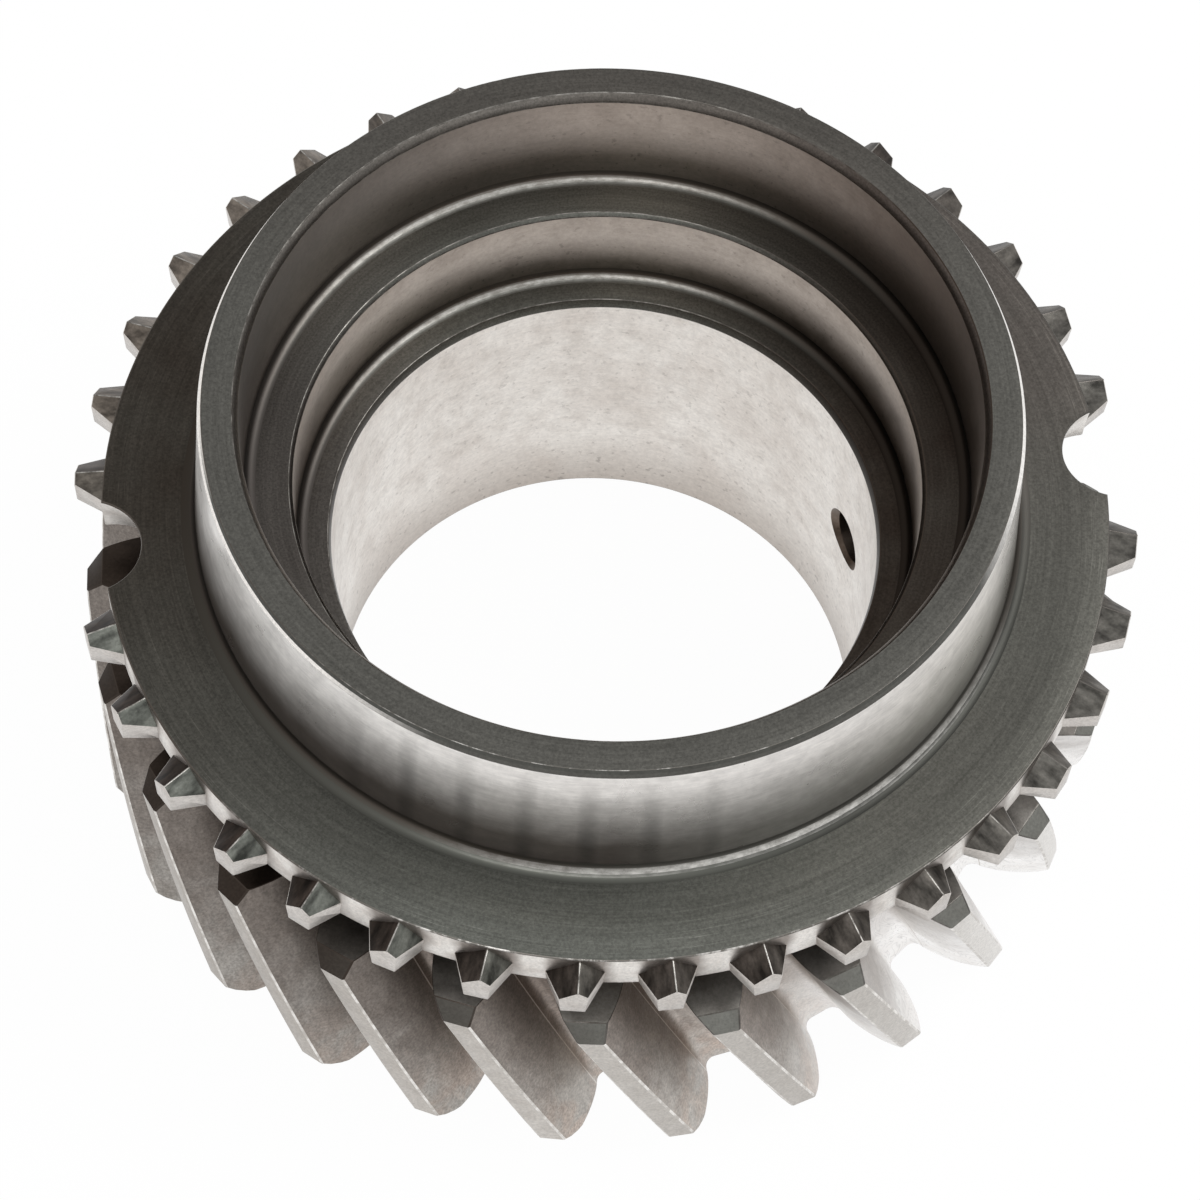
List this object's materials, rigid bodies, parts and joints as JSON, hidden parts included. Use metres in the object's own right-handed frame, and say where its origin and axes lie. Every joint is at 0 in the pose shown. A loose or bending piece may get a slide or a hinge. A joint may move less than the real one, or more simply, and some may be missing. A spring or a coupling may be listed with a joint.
{
  "type": "transmission gear",
  "caption": "Steel transmission gear with helical teeth, a ring of pointed dog teeth, a friction cone collar and a stepped bore.",
  "frame": {"origin": "centre of the bore at the plane of the back thrust face, on which the gear rests", "axes": "+Z along the bore axis toward the friction cone collar; +X through the middle of a dog tooth, ten degrees before the first notch"},
  "size_m": [0.0866, 0.0866, 0.0505],
  "materials": {
    "steel": "machined case-hardened steel with a dull oxide on the turned faces, a bright ground cone and a stained honed bore"
  },
  "bodies": {
    "root": {"gear": "steel"}
  },
  "joints": []
}
